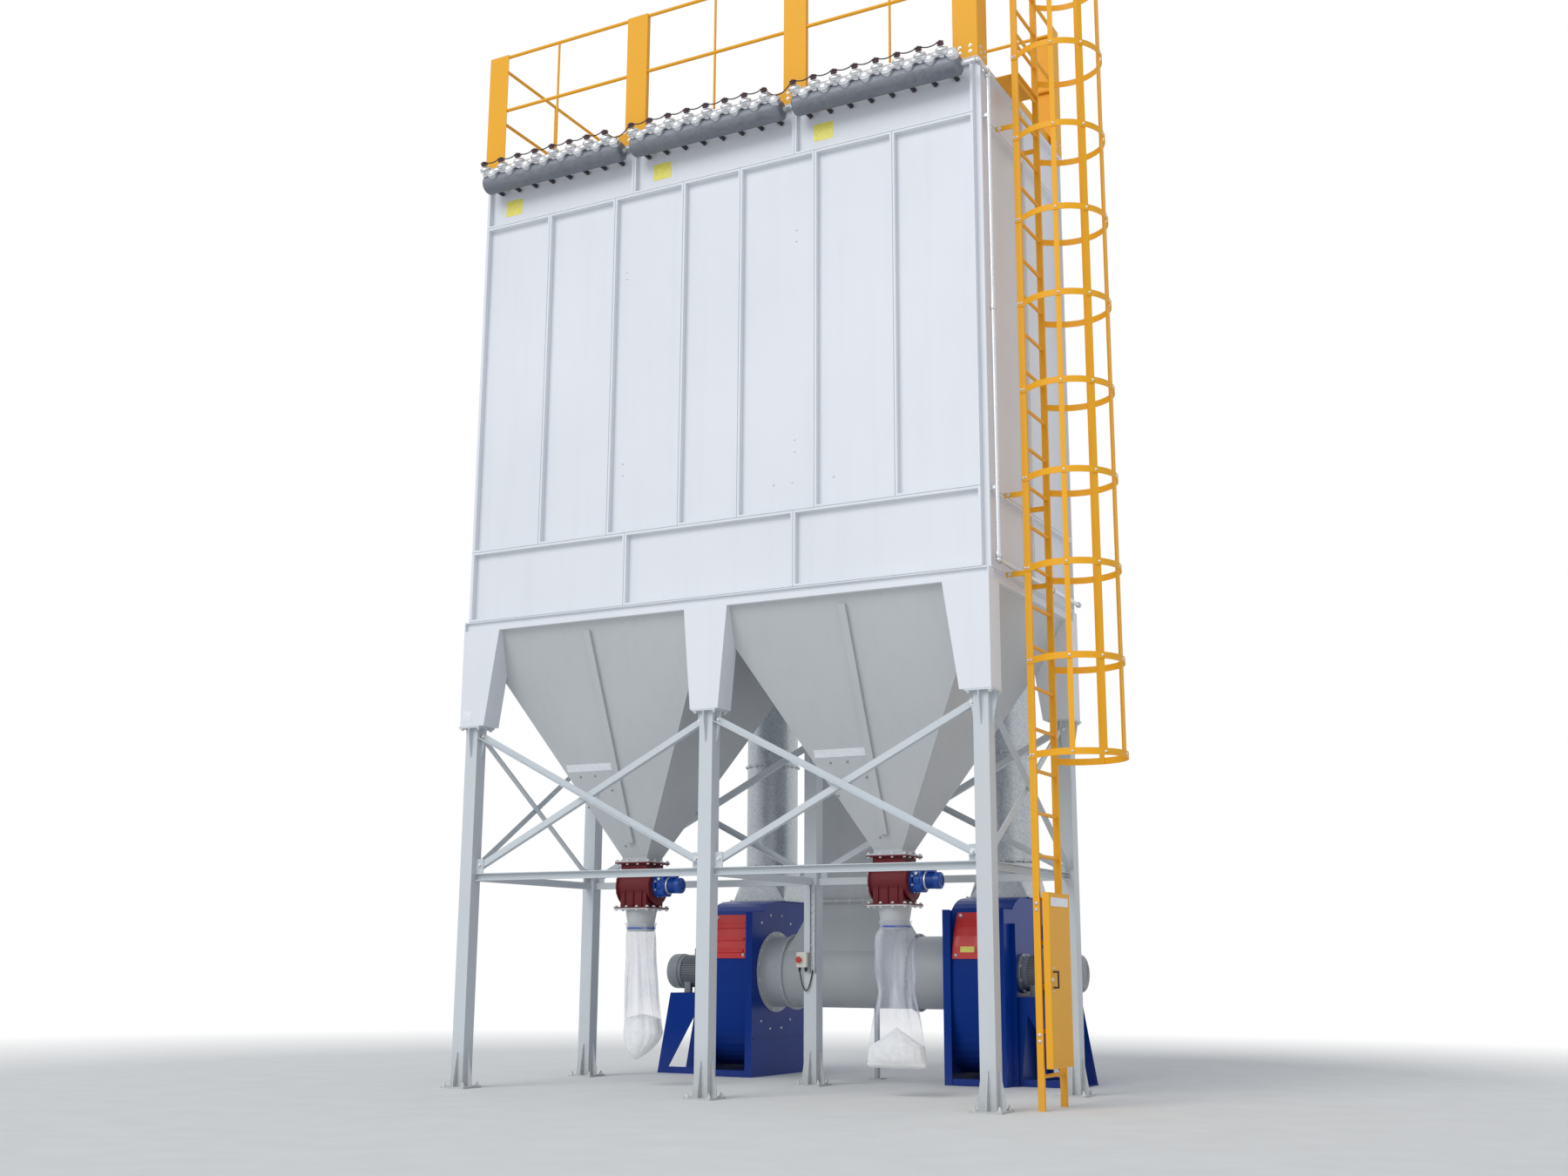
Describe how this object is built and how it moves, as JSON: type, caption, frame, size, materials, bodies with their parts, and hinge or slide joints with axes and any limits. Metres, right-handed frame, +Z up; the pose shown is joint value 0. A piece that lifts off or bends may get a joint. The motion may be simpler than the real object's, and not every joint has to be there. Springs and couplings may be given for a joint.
{
  "type": "bag filter dust collector",
  "caption": "Bag-filter dust collector on braced legs with twin hoppers, rotary valves, collection bags, blue fans behind, a caged yellow ladder and a roof guard rail.",
  "frame": {"origin": "on the ground, midway between the six legs, at the middle of the four outermost anchor holes", "axes": "+X along the front to the ladder end, +Y to the fans at the back, +Z up"},
  "size_m": [5.6858, 3.9675, 9.276],
  "materials": {
    "casing_grey": "satin",
    "hopper_grey": "satin",
    "steel_grey": "satin",
    "guard_yellow": "satin",
    "fan_blue": "gloss",
    "motor_blue": "satin",
    "valve_red": "satin",
    "panel_red": "satin",
    "zinc": "dull",
    "motor_grey": "satin",
    "bag_white": "woven",
    "box_grey": "matt",
    "black_plastic": "matt"
  },
  "bodies": {
    "collector": {"front_legs": "steel_grey", "rear_legs": "steel_grey", "support_haunches": "casing_grey", "ring_beams_long": "casing_grey", "ring_beams_cross": "casing_grey", "tie_beams": "steel_grey", "long_braces": "steel_grey", "end_braces": "steel_grey", "lower_casing": "casing_grey", "bag_casing_front": "casing_grey", "bag_casing_rear": "casing_grey", "bag_casing_ends": "casing_grey", "head_casing": "casing_grey", "roof_sheet": "casing_grey", "roof_covers": "casing_grey", "hopper_left": "hopper_grey", "hopper_right": "hopper_grey", "rotary_valves": "valve_red", "valve_gearmotors": "motor_blue", "discharge_spigots": "hopper_grey", "collection_bag_left": "bag_white", "collection_bag_right": "bag_white", "fan_casing_left": "fan_blue", "fan_casing_right": "fan_blue", "fan_front_panels": "panel_red", "fan_stools": "fan_blue", "fan_motors": "motor_grey", "inlet_plenum": "motor_grey", "clean_air_duct": "hopper_grey", "clean_air_hood": "hopper_grey", "discharge_ducts": "zinc", "air_headers": "zinc", "pulse_valves": "zinc", "air_supply_pipe": "zinc", "ladder_stiles": "guard_yellow", "ladder_rungs": "guard_yellow", "cage_hoops": "guard_yellow", "cage_straps": "guard_yellow", "ladder_step": "guard_yellow", "guard_posts": "guard_yellow", "toe_boards": "guard_yellow", "guard_rails": "guard_yellow", "emergency_stop": "box_grey", "cable_tray": "zinc", "door_hinges": "guard_yellow"},
    "guard_door": {"ladder_guard_door": "guard_yellow", "door_handle": "black_plastic"}
  },
  "joints": [
    {"name": "guard_door_hinge", "type": "hinge", "parent": "collector", "child": "guard_door", "pos_m": [2.66, -0.18, 0.5], "axis": [0, 0, 1], "range_deg": [0, 110]}
  ]
}
